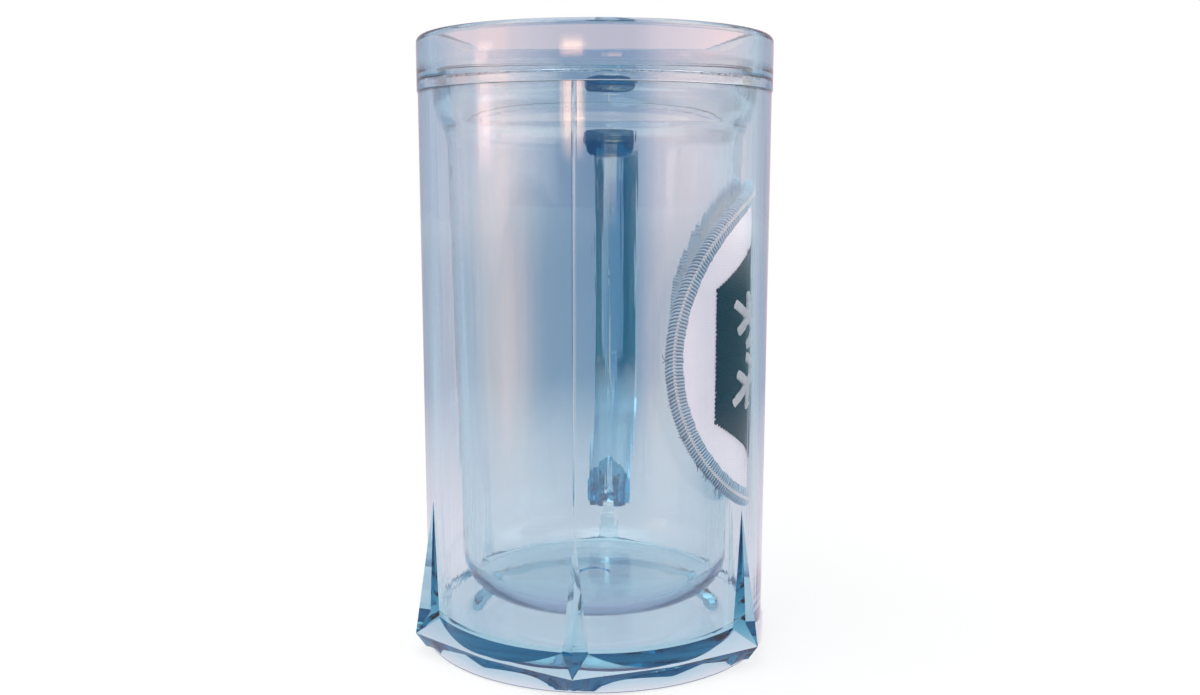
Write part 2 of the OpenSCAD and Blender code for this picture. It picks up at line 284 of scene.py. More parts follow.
shellSpec = {
    "wall": 3.4, "draft": 0.1, "lipBand": 13.6, "bandStep": 0.25,  # wall and the place of the lip
    "floorZ": 8.5, "fillet": 2.5, "footWidth": 9.5, "footLift": 1.5, "footEase": 7.0, "footBevel": 0.4,
    "ridges": 6, "ridgeTop": 39.5, "ridgeFoot": 10.0, "ridgeWidth": 6.6, "rootDepth": 0.3,
    "tipZ": 5.5, "valleyZ": 5.2, "baseReach": 0.5, "heelReach": 2.7, "heelZ": 1.7,
    "flashHeight": 0.2, "flashWidth": 0.2, "flashRise": 6,  # the mould's parting line, front and back
    "easeRows": 13, "gapRows": 12, "filletRows": 13, "edgeSteps": 4001,
    "wallRows": (0.03, 0.1, 0.3, 0.55, 0.8, 0.97, 1.0),
}
rimR, mugH = cupHigh[0], cupHigh[2]
lipZ = mugH - shellSpec["lipBand"]
shellR = rimR - shellSpec["bandStep"]
gapR = shellR - shellSpec["wall"]
draftRate = np.tan(np.radians(shellSpec["draft"]))
tongueR, tongueZ, roofZ = weldHigh[0], weldLow[2], weldHigh[2]


def wallR(z):  # radius of the drafted wall at height z
    return shellR - (lipZ - z) * draftRate


footR = wallR(0)
tipR = -shellLow[1]
ridgeStep = 2 * np.pi / shellSpec["ridges"]


def polar(r, turn, z):
    return np.array([r * np.cos(turn), r * np.sin(turn), z])


def planeOf(p, q, s):  # unit normal and offset of the plane through three points
    normal = np.cross(q - p, s - p)
    normal = normal / np.linalg.norm(normal)
    return normal, normal @ p


starTip = polar(tipR, 0, shellSpec["tipZ"])
starHeel = polar(footR + shellSpec["heelReach"], 0, shellSpec["heelZ"])
starValley = polar(footR + shellSpec["baseReach"], ridgeStep / 2, shellSpec["valleyZ"])
starCorner = polar(wallR(shellSpec["ridgeFoot"]) - shellSpec["rootDepth"],
                   np.arcsin(shellSpec["ridgeWidth"] / 2 / wallR(shellSpec["ridgeFoot"])),
                   shellSpec["ridgeFoot"])
ridgeTopPoint = polar(wallR(shellSpec["ridgeTop"]), 0, shellSpec["ridgeTop"])
ridgePlane = planeOf(ridgeTopPoint, starTip, starCorner)
skirtPlane = planeOf(starTip, starValley, starCorner)


def alongEdge(p, q, turn):  # r and z where the edge from p to q crosses the upright plane at angle turn
    below = (p[0] - q[0]) * np.sin(turn) - (p[1] - q[1]) * np.cos(turn)
    crosses = np.abs(below) > tiny
    share = np.where(crosses, (p[0] * np.sin(turn) - p[1] * np.cos(turn)) / np.where(crosses, below, 1), 0)
    point = p[:, None] + (q - p)[:, None] * np.clip(share, 0, 1)
    return np.stack([np.hypot(point[0], point[1]), point[2]], -1)


def planeOnWall(plane, turn):  # r and z where a facet's plane cuts the drafted wall
    normal, offset = plane
    lean = normal[0] * np.cos(turn) + normal[1] * np.sin(turn)
    z = (offset - wallR(0) * lean) / (normal[2] + draftRate * lean)
    return np.stack([wallR(z), z], -1)


def planeRadius(plane, turn, z):  # radius of a facet's plane at angle turn and height z
    normal, offset = plane
    return (offset - normal[2] * z) / (normal[0] * np.cos(turn) + normal[1] * np.sin(turn))


def edgeOnWall():  # angle at which the edge from tip to corner sinks into the wall
    share = np.linspace(0, 1, shellSpec["edgeSteps"])
    point = starTip[:, None] + (starCorner - starTip)[:, None] * share
    proud = np.hypot(point[0], point[1]) - wallR(point[2])
    return np.interp(0, -proud, np.arctan2(point[1], point[0]))


sinkTurn = edgeOnWall()


def starAngles():  # columns of one half ridge, mirrored and repeated round the base
    half = np.concatenate([np.radians([0, 0.1, 0.2, 0.32, 0.5, 1.0, 1.8, 2.8]), [sinkTurn],
                           np.radians([5, 6, 7, 8.5]), np.radians(np.arange(10, 30.1, 1.0))])
    offset = np.concatenate([-half[:0:-1], half[:-1]])  # from minus half a step up to plus half a step
    ridge = np.arange(shellSpec["ridges"])
    turn = (ridge[:, None] * ridgeStep + offset[None, :] - np.pi / 2).ravel()
    return turn, np.tile(offset, len(ridge)), np.repeat(ridge, len(offset))


def shellGrid():
    # rows run from the pole under the base, over the star facets and the wall, into the gap and to its floor
    s = shellSpec
    turn, offset, ridge = starAngles()
    f = np.abs(offset)
    baseR = footR + s["baseReach"]
    innerFoot = footR - s["footWidth"]
    rise = np.linspace(0, 1, s["easeRows"])  # the underside eases down to the foot ring
    easeR = innerFoot - s["footEase"] * (1 - rise)
    easeZ = s["footLift"] * (0.5 + 0.5 * np.cos(np.pi * rise))
    under = [(0, s["footLift"]), (innerFoot * 0.5, s["footLift"]), *zip(easeR, easeZ),
             (footR - s["footBevel"], 0), (footR, s["footBevel"]), (baseR, s["footBevel"]),
             (baseR, s["heelZ"] / 4 + s["footBevel"])]
    onRidge = (f < sinkTurn - tiny)[:, None]
    junction = np.where(onRidge, planeOnWall(ridgePlane, f), planeOnWall(skirtPlane, f))
    edge = np.where(onRidge, alongEdge(starTip, starCorner, f), junction)
    shaped = [alongEdge(starHeel, starValley, f), alongEdge(starTip, starValley, f), edge, junction]
    flash = s["flashHeight"] * np.exp(-(shellR * offset / s["flashWidth"]) ** 2) * (ridge % 3 == 0)
    for share in s["wallRows"]:
        z = junction[:, 1] + (lipZ - junction[:, 1]) * share
        shaped.append(np.stack([wallR(z) + flash * (share < 1) * min(1, share * s["flashRise"]), z], -1))
    low = s["floorZ"] + s["fillet"]
    gap = [(tongueR, lipZ), (tongueR, tongueZ), (gapR, tongueZ),
           *((gapR, z) for z in np.linspace(tongueZ - 1, low, s["gapRows"])),
           *arcPoints((gapR - s["fillet"], low), s["fillet"], 0, -90, s["filletRows"])[1:],
           (gapR * 0.6, s["floorZ"]), (gapR * 0.25, s["floorZ"]), (0, s["floorZ"])]

    def plain(rows):  # the same r and z in every column
        return [np.stack([np.full_like(f, r), np.full_like(f, z)], -1) for r, z in rows]

    return revolved(np.array(plain(under) + shaped + plain(gap)), turn)


buildPiece("outer_shell_clear", [(shellGrid(), True, None)], clearPlastic("shell_clear_blue", plasticLook),
           "outer_shell", 20)


# Inner cup with its lip band


cupSpec = {
    "gapTop": 3.8, "gapBase": 6.3, "wall": 2.3, "floor": 3.0, "corner": 11.0,
    "shoulder": 14.0, "ledge": 5.0, "slack": 0.01, "lipWall": 4.0, "lipRound": 1.6, "lipDepth": 6.0,
    "jointGap": 0.15, "skirtRound": 0.25, "gateD": 8.6, "gateDepth": 0.4,
    "columns": 240, "insideRows": 93, "easeSpan": 13,
    "cornerRows": 25, "shoulderRows": 57, "skirtRows": 5, "lipRows": 10, "bandRows": 33, "innerRows": 21,
}


def rounded(line):  # the same line in even steps of height, with its kinks eased by a running mean
    span = cupSpec["easeSpan"]
    z = np.linspace(line[0, 1], line[-1, 1], cupSpec["insideRows"])
    r = np.interp(-z, -line[:, 1], line[:, 0])
    return np.stack([np.convolve(np.pad(r, span // 2, "edge"), np.full(span, 1 / span), "valid"), z], -1)


def cupProfile():
    # (r, z) from the pole under the cup, up its outside, over the lip and down its inside
    c = cupSpec
    cupZ, footCentre = cupLow[2], gapR - c["gapBase"] - c["corner"]
    floorZ, gateR, gateDepth = cupZ + c["floor"], c["gateD"] / 2, c["gateDepth"]
    topR, shoulderZ = gapR - c["gapTop"], lipZ - c["shoulder"]
    collarR, skirtR, lipR = gapR - c["jointGap"], tongueR + c["jointGap"], rimR - c["lipWall"]
    inner = c["corner"] - c["wall"]
    lift, edge = c["lipRound"], c["skirtRound"]
    shoulder = easePoints((topR, shoulderZ), (collarR, lipZ), c["shoulderRows"])
    parallel = shoulder[shoulder[:, 1] <= shoulderZ + c["ledge"] + c["slack"]][::-1] - [c["wall"], 0]
    outside = np.concatenate([
        [[0, cupZ], [footCentre * 0.5, cupZ]],
        arcPoints((footCentre, cupZ + c["corner"]), c["corner"], -90, 0, c["cornerRows"]),
        shoulder,
        [[collarR, roofZ], [skirtR, roofZ], [skirtR, lipZ]],
        arcPoints((rimR - edge, lipZ + edge), edge, -90, 0, c["skirtRows"])])
    band = easePoints((lipR, mugH - c["lipDepth"]), parallel[0], c["bandRows"])
    inside = np.concatenate([
        arcPoints((rimR - lift, mugH - lift), lift, 0, 90, c["lipRows"]),
        arcPoints((lipR + lift, mugH - lift), lift, 90, 180, c["lipRows"]),
        rounded(np.concatenate([band, parallel[1:]])),
        arcPoints((footCentre, floorZ + inner), inner, 0, -90, c["innerRows"]),
        [[gateR, floorZ], [gateR - gateDepth, floorZ - gateDepth], [0, floorZ - gateDepth]]])
    return np.concatenate([outside, inside])


cupPlastic = clearPlastic("cup_clear_blue", {  # its bottom corner is darker: painted shade
    **plasticLook, "paintedEdgeShade": (0.5, 0.42, 0.6, 1), "edgeTop": (0.012, 0.033), "edgeDown": (0.116, 0.075)})
cupTurn = np.linspace(0, 2 * np.pi, cupSpec["columns"], endpoint=False)
buildPiece("inner_cup_clear", [(revolved(cupProfile(), cupTurn), True, None)], cupPlastic,
           "inner_cup", 25)


# Weld bead, chipped and uneven


weldSpec = {
    "columns": 720, "sides": 10, "outer": 0.04, "play": 0.01, "square": 0.5,
    "chip": 0.6, "sag": 0.4, "counts": (19, 43, 97, 173), "shifts": (0.4, 1.9, 0.2, 2.6),  # its uneven edge
}


def ripple(turn, counts, shifts):  # sum of a few sines round the mug, from 0 to 1
    wave = sum(np.sin(n * turn + s) for n, s in zip(counts, shifts))
    return 0.5 + 0.5 * wave / len(counts)


def weldGrid():
    # ring: soft cosine across and soft sine up, both drawn in where the edge is chipped
    w = weldSpec
    turn = np.linspace(0, 2 * np.pi, w["columns"], endpoint=False)
    side = np.linspace(0, 2 * np.pi, w["sides"], endpoint=False)
    chip = 1 - w["chip"] * ripple(turn, w["counts"], w["shifts"]) ** 2
    midR, midZ = (gapR + tongueR) / 2, (tongueZ + roofZ) / 2
    halfR, halfZ = (tongueR - gapR) / 2 - w["outer"], (roofZ - tongueZ) / 2 - w["play"]
    r = midR + halfR * soft(np.cos(side), w["square"])[:, None] * chip
    z = midZ + halfZ * soft(np.sin(side), w["square"])[:, None] * (1 - w["sag"] * (1 - chip))
    grid = revolved(np.stack([r, z], -1), turn)
    return np.concatenate([grid, grid[:1]])


weldPlastic = clearPlastic("weld_remelted", {
    **plasticLook, "tint": (0.75, 0.83, 0.9, 1), "polish": 0.15, "scuff": 0.5,
    "waveScale": 900.0, "waveHeight": 0.0004})
buildPiece("rim_weld_bead", [(weldGrid(), True, None)], weldPlastic, "rim_weld", 60)


# Handle: a D section carried along a bent middle line in the plane X = 0


handleSpec = {
    "drop": 5.4, "lowZ": 29.3, "w": 16.4, "lowW": 14.0, "t": 10.6, "lowT": 13.4,
    "upperBend": 15.0, "lowerBend": 26.0, "slope": 35.0, "film": 0.05, "sides": 72, "capRings": 9,
    "keel": 1.8, "acrossPower": 0.6, "flatPower": 0.45, "roundPower": 0.9,  # shape of the D section
    "bendRows": 25, "armRows": (0.55, 0.3), "gripRows": (0.25, 0.5, 0.75), "lowRows": (0.2, 0.4),
    "reach": 16, "reachSteps": 1601,  # how far a root may slide to the shell
}


def handleLine():
    # stations from the upper root to the lower one: y, z, heading and the share of the way to the lower size
    h = handleSpec
    gripY = handleHigh[1] - h["t"] / 2
    armZ = lipZ - h["drop"] - h["t"] / 2
    slope = np.radians(h["slope"])
    lowY = gripY - h["lowerBend"]
    endY = lowY + h["lowerBend"] * np.sin(slope)
    endZ = h["lowZ"] + (endY - shellR) * np.tan(slope)
    lowArcZ = endZ + h["lowerBend"] * np.cos(slope)
    rootZ = h["lowZ"] + (gapR - shellR) * np.tan(slope)
    turn = np.linspace(0, np.pi / 2, h["bendRows"])
    upper = np.stack([gripY - h["upperBend"] + h["upperBend"] * np.sin(turn),
                      armZ - h["upperBend"] + h["upperBend"] * np.cos(turn), -turn, 0 * turn], -1)
    share = np.linspace(0, 1, h["bendRows"])
    bend = (np.pi / 2 - slope) * share
    lower = np.stack([lowY + h["lowerBend"] * np.cos(bend), lowArcZ - h["lowerBend"] * np.sin(bend),
                      -np.pi / 2 - bend, 0.5 * share], -1)
    straight = lambda p, q, at: p + (q - p) * np.asarray(at)[:, None]
    first = np.array([gapR, armZ, 0, 0])
    last = np.array([gapR, rootZ, slope - np.pi, 1])
    return np.concatenate([[first], straight(upper[0], first, h["armRows"]), upper,
                           straight(upper[-1], lower[0], h["gripRows"]), lower,
                           straight(lower[-1], last, h["lowRows"]), [last]])


def shellRadiusAt(x, y, z):  # outside of the wall with its ridges, at a point's own angle and height
    turn = np.arctan2(y, x) + np.pi / 2
    offset = np.abs((turn + ridgeStep / 2) % ridgeStep - ridgeStep / 2)
    return np.maximum(wallR(z), np.where(z < shellSpec["ridgeTop"], planeRadius(ridgePlane, offset, z), 0))


def sunkOnShell(points, heading):  # slides points along the arm until they lie a cement film off the shell
    reach = np.linspace(0, handleSpec["reach"], handleSpec["reachSteps"])
    y = points[:, 1, None] + reach * np.cos(heading)
    z = points[:, 2, None] + reach * np.sin(heading)
    x = points[:, 0, None] + 0 * reach
    outside = np.hypot(x, y) > shellRadiusAt(x, y, z) + handleSpec["film"]
    outside = np.logical_and.accumulate(outside[:, ::-1], 1)[:, ::-1]  # outside from here on
    first = outside.argmax(1)
    pick = np.arange(len(points))
    return np.stack([x[pick, first], y[pick, first], z[pick, first]], -1)


def handleGrid():
    # ring: across = half width times soft cosine, out = half thickness times soft sine, flatter outside;
    # on the finger side the cosine's power grows on the way down, which draws that side to a keel
    h = handleSpec
    a = np.linspace(0, 2 * np.pi, h["sides"], endpoint=False)
    line = handleLine()

    def ring(station, size=1.0):
        y, z, heading, down = station
        w = h["w"] + (h["lowW"] - h["w"]) * down
        t = h["t"] + (h["lowT"] - h["t"]) * down
        fingerPower = np.where(np.sin(a) > 0, h["acrossPower"], h["acrossPower"] + h["keel"] * down)
        across = size * w / 2 * soft(np.cos(a), fingerPower)
        out = size * t / 2 * soft(np.sin(a), np.where(np.sin(a) > 0, h["flatPower"], h["roundPower"]))
        return np.stack([across, y - out * np.sin(heading), z + out * np.cos(heading)], -1)

    sizes = np.linspace(0, 1, h["capRings"])
    upperCap = [sunkOnShell(ring(line[0], size), line[0, 2]) for size in sizes]
    lowerCap = [sunkOnShell(ring(line[-1], size), line[-1, 2] + np.pi) for size in sizes[::-1]]
    return np.array(upperCap + [ring(station) for station in line[1:-1]] + lowerCap)


# the handle's tint is its own colour; its edge bands and upper root are darker: painted shade for light lost
# along long paths in the thick plastic
handlePlastic = clearPlastic("handle_clear_blue", {
    **plasticLook, "tint": (0.64, 0.79, 0.92, 1), "waveScale": 70.0, "density": 26.0,
    "paintedEdgeShade": (0.0, 0.05, 0.11, 1), "edgeSide": (0.2, 0.32), "edgeFace": (-0.12, -0.45), "edgeShift": 0.15,
    "edgeTop": (0.13, 0.2), "edgeDown": (0.92, 0.62),
    "paintedCapShade": (0.001, 0.13, 0.32, 1), "capDown": (0.13, 0.1)})
buildPiece("handle_clear", [(handleGrid(), True, None)], handlePlastic, "handle", 40)


# Patch: worked out flat as (across, up), then bent round the mug's axis


patchSpec = {"tuck": 2.4, "borderW": 4.2, "borderUnder": 0.45, "backing": 0.5, "rings": 15, "columns": 180}
patchZ = (borderLow[2] + borderHigh[2]) / 2
patchR = (borderHigh[2] - borderLow[2]) / 2
borderR, flakeR, fieldR, twillR, clothR = (
    high[0] for high in (borderHigh, flakeHigh, fieldHigh, twillHigh, backingHigh))


def bent(across, up, r):  # across becomes an angle at the cloth's radius, up stays up
    turn = across / clothR
    return np.stack([r * np.cos(turn), r * np.sin(turn), up + patchZ], -1)


def flatUv(across, up):  # cloth coordinates in millimetres, so that every weave has its real pitch
    return np.stack([across, up], -1)


def closedDisc(radius, inner, outer):
    # a round layer between two radii from the axis: rings out over the top, down the edge and back below
    rings = patchSpec["rings"]
    turn = np.linspace(0, 2 * np.pi, patchSpec["columns"] + 1)
    share = np.concatenate([np.linspace(0, 1, rings), np.linspace(1, 0, rings)])[:, None] * radius
    height = np.repeat([outer, inner], rings)[:, None]
    across, up = share * np.cos(turn), share * np.sin(turn)
    return bent(across, up, height)[:, :-1], True, flatUv(across, up)


# Stitching and weave: one group, which works in millimetres on the cloth


stitchSpec = {
    "pinchFrom": 0.86, "pinch": 0.45, "dullest": 0.8,  # thread ends dip, and threads differ in tone
    "bump": 0.8, "shine": 0.5, "sheenRough": 0.4,
}


def makeStitchGroup():
    s = stitchSpec
    tree, add, given, out = newGroup(
        "threadStitch",
        {"Cloth": "Vector", "Thread": "Float", "Length": "Float", "Light": "Color", "Dark": "Color"},
        {"Color": "Color", "Height": "Float"})
    cloth = add("ShaderNodeSeparateXYZ", {0: given["Cloth"]}).outputs
    row = add.math("DIVIDE", cloth["Y"], given["Thread"])
    number = add.math("FLOOR", row)
    luck = add("ShaderNodeTexWhiteNoise", {"W": number}, noise_dimensions="1D").outputs["Value"]
    across = add.math("ABSOLUTE", add.math("SUBTRACT", add.math("FRACT", row), 0.5))
    crown = add.math("SUBTRACT", 1.0, add.math("MULTIPLY", add.math("MULTIPLY", across, across), 4.0))
    along = add.math("FRACT", add.math("ADD", add.math("DIVIDE", cloth["X"], given["Length"]), luck))
    ends = add.math("MULTIPLY", add.math("ABSOLUTE", add.math("SUBTRACT", along, 0.5)), 2.0)
    height = add.math("MULTIPLY", crown, add.ranged(ends, s["pinchFrom"], 1.0, 1.0, s["pinch"]))
    # colour runs from Dark in the furrows and at the dipped thread ends to Light on each crown: painted shade
    # of the thread's roundness, with whole threads duller at random
    blend = add.math("MULTIPLY", height, add.ranged(luck, 0.0, 1.0, s["dullest"], 1.0))
    tree.links.new(add.mixed(blend, given["Dark"], given["Light"]), out["Color"])
    tree.links.new(height, out["Height"])
    return tree


stitchGroup = makeStitchGroup()


def threadMaterial(name, look):
    material, add = newMaterial(name)
    cloth = add("ShaderNodeUVMap", uv_map="UVMap").outputs[0]
    turned = add("ShaderNodeMapping", {"Vector": cloth, "Rotation": (0, 0, np.radians(look["turn"]))})
    stitch = useGroup(add, stitchGroup, {
        "Cloth": turned.outputs[0], "Thread": look["thread"], "Length": look["length"],
        "Light": look["light"], "Dark": look["dark"]})
    bump = add("ShaderNodeBump", {"Height": stitch["Height"], "Distance": look["relief"] * mm,
                                  "Strength": stitchSpec["bump"]})
    shade = add("ShaderNodeAttribute", attribute_name="shade").outputs["Fac"]
    # base colour falls to the gap colour where the shade attribute drops: painted shade in the grooves
    shader = add("ShaderNodeBsdfPrincipled", {
        "Base Color": add.mixed(shade, look["gap"], stitch["Color"]), "Normal": bump.outputs[0],
        "Roughness": look["rough"], "Specular IOR Level": look.get("shine", stitchSpec["shine"]),
        "Sheen Weight": look["sheen"], "Sheen Roughness": stitchSpec["sheenRough"]})
    add("ShaderNodeOutputMaterial", {"Surface": shader.outputs[0]})
    return material


borderSpec = {
    "wraps": 300, "perWrap": 8, "sides": 28, "slant": 0.9,  # wraps lean over the bead by this share of a wrap
    "outerGroove": 0.36, "innerGroove": 0.24, "sink": 0.16, "uneven": 0.07, "ragged": 0.3, "inward": 1.35,
    "bead": 0.8, "hump": 0.6, "raggedFrom": 0.4,  # powers of the bead and a wrap, and where ends turn ragged
    "gapPower": 1.5, "midGap": 0.45, "dull": 0.25,  # painted shade of the gaps, and a duller tone on single wraps
    "chainAmp": 0.3, "chainR": 0.17, "chainOut": 0.2, "chainSteps": 6,  # braid along the top of the bead
    "chainDip": 1.6, "chainThin": 0.35, "chainLag": 0.8,
}
borderHalfW = patchSpec["borderW"] / 2
borderHalfT = (borderR - clothR + patchSpec["backing"] + patchSpec["borderUnder"]) / 2
borderMid = patchR - borderHalfW
borderPitch = 2 * np.pi * borderMid / borderSpec["wraps"]

# in each look, light is a thread's crown, dark its painted shade in the furrows and the tone of dull threads,
# gap the painted shade in grooves
twillLook = {"turn": 45.0, "thread": 0.5, "length": 3.0, "relief": 0.1, "rough": 0.85, "sheen": 0.2,
             "light": (0.95, 0.95, 1.0, 1), "dark": (0.78, 0.76, 0.84, 1), "gap": (0.5, 0.5, 0.52, 1)}
backingLook = {"turn": 0.0, "thread": 0.4, "length": 1.2, "relief": 0.05, "rough": 0.9, "sheen": 0.1,
               "light": (0.50, 0.55, 0.58, 1), "dark": (0.38, 0.43, 0.46, 1), "gap": (0.3, 0.33, 0.33, 1)}
fieldLook = {"turn": 0.0, "thread": 0.34, "length": 4.5, "relief": 0.15, "rough": 0.6, "sheen": 0.0,
             "shine": 0.1, "light": (0.0, 0.065, 0.1, 1), "dark": (0.0, 0.025, 0.04, 1),
             "gap": (0, 0.004, 0.008, 1)}
flakeLook = {"turn": 0.0, "thread": 0.21, "length": 30.0, "relief": 0.12, "rough": 0.45, "sheen": 0.3,
             "light": (0.92, 0.93, 0.95, 1), "dark": (0.52, 0.54, 0.60, 1), "gap": (0.2, 0.22, 0.26, 1)}
borderLook = {"turn": 0.0, "thread": borderPitch, "length": 60.0, "relief": 0.2, "rough": 0.5, "sheen": 0.1,
              "light": (0.44, 0.68, 0.84, 1), "dark": (0.05, 0.15, 0.24, 1), "gap": (0.02, 0.06, 0.1, 1)}
chainLook = {"turn": 0.0, "thread": 0.3, "length": 1.5, "relief": 0.05, "rough": 0.5, "sheen": 0.3,
             "light": (0.90, 0.91, 0.90, 1), "dark": (0.60, 0.62, 0.62, 1), "gap": (0.2, 0.2, 0.2, 1)}
# the fibres are border thread, coloured dark: painted shade where they lie along the wall
fuzzLook = {"turn": 0.0, "thread": 0.1, "length": 2.0, "relief": 0.02, "rough": 0.7, "sheen": 0.0,
            "light": (0.10, 0.15, 0.22, 1), "dark": (0.02, 0.05, 0.09, 1), "gap": (0, 0, 0, 1)}

clothEdge = patchR - patchSpec["borderW"] + patchSpec["tuck"]
backing = buildPiece("patch_backing_disc", [closedDisc(clothEdge, clothR - patchSpec["backing"], clothR)],
                     threadMaterial("pressed_backing", backingLook), "patch_backing")
twill = buildPiece("patch_twill_disc", [closedDisc(clothEdge, clothR, twillR)],
                   threadMaterial("white_twill", twillLook), "patch_twill")


# Overlocked border: a bead carried round the patch, cut by grooves between its thread wraps


def chance(number, salt):  # a fixed scatter between 0 and 1 for each whole number
    return np.mod(np.sin(number * 12.9898 + salt) * 43758.5453, 1.0)


def borderGrid():
    # bead: out from its middle by half its width times soft cosine, up by half its thickness times soft sine;
    # the phase counts wraps along the border and leans with the sine, so grooves cross the bead at a slant
    b = borderSpec
    turn = np.linspace(0, 2 * np.pi, b["wraps"] * b["perWrap"] + 1)[None, :]
    side = np.linspace(0, 2 * np.pi, b["sides"] + 1)[:, None]
    phase = turn * b["wraps"] / (2 * np.pi) + b["slant"] * np.sin(side)
    number = np.mod(np.floor(phase), b["wraps"])
    hump = np.abs(np.sin(np.pi * phase)) ** b["hump"]  # 0 in the groove between two wraps, 1 on a wrap
    outward = 0.5 + 0.5 * np.cos(side)  # 1 on the bead's outer edge, 0 on the edge that lies on the cloth
    groove = b["innerGroove"] + (b["outerGroove"] - b["innerGroove"]) * outward
    full = 1 - b["sink"] - groove * (1 - hump) - b["uneven"] * chance(number, 1.7)
    onCloth = np.clip(-np.cos(side) - b["raggedFrom"], 0, 1)  # the wraps end raggedly on the cloth
    out = borderHalfW * soft(np.cos(side), b["bead"]) * np.where(
        np.cos(side) > 0, full + b["sink"], b["inward"] - b["ragged"] * onCloth * chance(number, 4.1))
    rise = borderHalfT * soft(np.sin(side), b["bead"]) * full
    flat = borderMid + out
    grid = bent(flat * np.cos(turn), flat * np.sin(turn), borderR - borderHalfT + rise)
    uv = np.stack(np.broadcast_arrays(side * borderHalfW, phase * borderPitch), -1)
    edge = np.abs(np.cos(side)) ** 3  # painted shade in the gaps is darkest on both edges
    gap = (1 - hump) ** b["gapPower"] * (b["midGap"] + (1 - b["midGap"]) * edge)
    # shade: painted shade in the grooves between wraps, less a random dullness of single wraps on the cloth
    # side
    shade = 1 - gap - b["dull"] * chance(number, 8.8) * (1 - outward)
    return grid[:, :-1], True, uv, np.clip(shade[:, :-1], 0, 1)


def tubeGrid(across, up, depth, thick, sides=6):
    # a tube along a line on the patch: its rings stand square to the line's heading in the flat
    heading = np.arctan2(np.gradient(up), np.gradient(across))[:, None] + np.pi / 2
    side = np.linspace(0, 2 * np.pi, sides + 1)[None, :]
    wide = thick[:, None] * np.cos(side)
    grid = bent(across[:, None] + wide * np.cos(heading), up[:, None] + wide * np.sin(heading),
                depth[:, None] + thick[:, None] * np.sin(side))
    way = np.concatenate([[0], np.cumsum(np.hypot(np.diff(across), np.diff(up)))])
    uv = np.stack(np.broadcast_arrays(way[:, None], side * thick.max()), -1)
    return grid[:, :-1], True, uv


def chainGrid(strand):
    # one of two yarns that swing to and fro along the bead's top, each over the other by turns
    b = borderSpec
    turn = np.linspace(0, 2 * np.pi, b["wraps"] * b["chainSteps"] + 1)
    phase = np.pi * (turn * b["wraps"] / (2 * np.pi) + strand)
    flat = borderMid + b["chainOut"] + b["chainAmp"] * np.sin(phase)
    dip = 0.5 + 0.5 * np.cos(2 * phase + b["chainLag"])
    depth = borderR - b["chainR"] * (1.0 + b["chainDip"] * dip)
    thick = b["chainR"] * (1.0 - b["chainThin"] * dip)
    return tubeGrid(flat * np.cos(turn), flat * np.sin(turn), depth, thick)


fuzzSpec = {
    "tufts": (179, 193, 207, 218, 222, 230), "perTuft": 3, "length": 2.4, "thick": 0.075, "steps": 14,
    "shortest": 0.3, "spread": 2.0, "curl": 5.0, "lean": 2.4, "inset": 0.5, "depth": 0.7, "swing": 0.4,
}


def fuzzGrid(index, angle):
    # a thin fibre from the border's edge outwards along the wall, curling as it goes
    f = fuzzSpec
    share = np.linspace(0, 1, f["steps"])
    length = f["length"] * (f["shortest"] + (1 - f["shortest"]) * chance(index, 0.3))
    spread = np.radians(angle + f["spread"] * (chance(index, 7.1) - 0.5))
    heading = spread + f["curl"] * (chance(index, 2.2) - 0.5) * share + f["lean"] * (chance(index, 5.5) - 0.5)
    start = patchR - f["inset"]
    across = start * np.cos(spread) + np.cumsum(np.cos(heading)) * length / f["steps"]
    up = start * np.sin(spread) + np.cumsum(np.sin(heading)) * length / f["steps"]
    depth = borderR - f["depth"] + f["swing"] * np.sin(3 * share + index)
    return tubeGrid(across, up, depth, f["thick"] * np.where((share > 0) & (share < 1), 1, 0))


buildPiece("patch_border_overlock", [borderGrid()], threadMaterial("silver_overlock", borderLook),
           "patch_border", 80)
buildPiece("patch_border_chain", [chainGrid(0), chainGrid(1)], threadMaterial("cream_chain", chainLook),
           "patch_border", 80)
fibreAngles = np.repeat(fuzzSpec["tufts"], fuzzSpec["perTuft"])
buildPiece("patch_border_fuzz", [fuzzGrid(index, angle) for index, angle in enumerate(fibreAngles)],
           threadMaterial("loose_fibres", fuzzLook), "patch_border", 80)


# Filled stitching of the dark field: a hexagon with a toothed edge


fieldSpec = {
    "teeth": 30, "perTooth": 4, "tooth": 0.8, "leastTooth": 0.6, "cornerFade": 40,  # teeth along a side
    "rings": 10, "edgeDrop": 0.14, "off": 0.01,
}


def unit(degrees):  # across and up of a direction on the cloth
    return np.stack([np.cos(np.radians(degrees)), np.sin(np.radians(degrees))])


def fieldGrid():
    # rings shrink from the toothed outline to the middle, over the top and back under it
    f = fieldSpec
    width = (fieldHigh[2] - fieldLow[2]) * np.sqrt(3) / 2
    perSide = f["teeth"] * f["perTooth"]
    place = np.arange(6 * perSide + 1) / perSide
    side, along = np.floor(place) % 6, place % 1.0
    corner = lambda k: width / np.sqrt(3) * unit(60 * k + 30)
    outline = corner(side) * (1 - along) + corner(side + 1) * along
    normal = unit(60 * side + 60)
    wave = np.abs(2 * np.mod(along * f["teeth"], 1.0) - 1)
    luck = chance(np.floor(along * f["teeth"]) + 50 * side, 0.9)
    reach = f["tooth"] * (f["leastTooth"] + (1 - f["leastTooth"]) * luck)
    outline = outline - normal * reach * wave * np.clip(np.minimum(along, 1 - along) * f["cornerFade"], 0, 1)
    share = np.concatenate([np.linspace(0, 1, f["rings"]), np.linspace(1, 0, f["rings"])])[:, None]
    top = np.where(np.arange(2 * f["rings"]) < f["rings"], fieldR, twillR + f["off"])
    top[f["rings"] - 1] -= f["edgeDrop"]
    across, up = share * outline[0], share * outline[1]
    return bent(across, up, top[:, None])[:, :-1], True, flatUv(across, up)


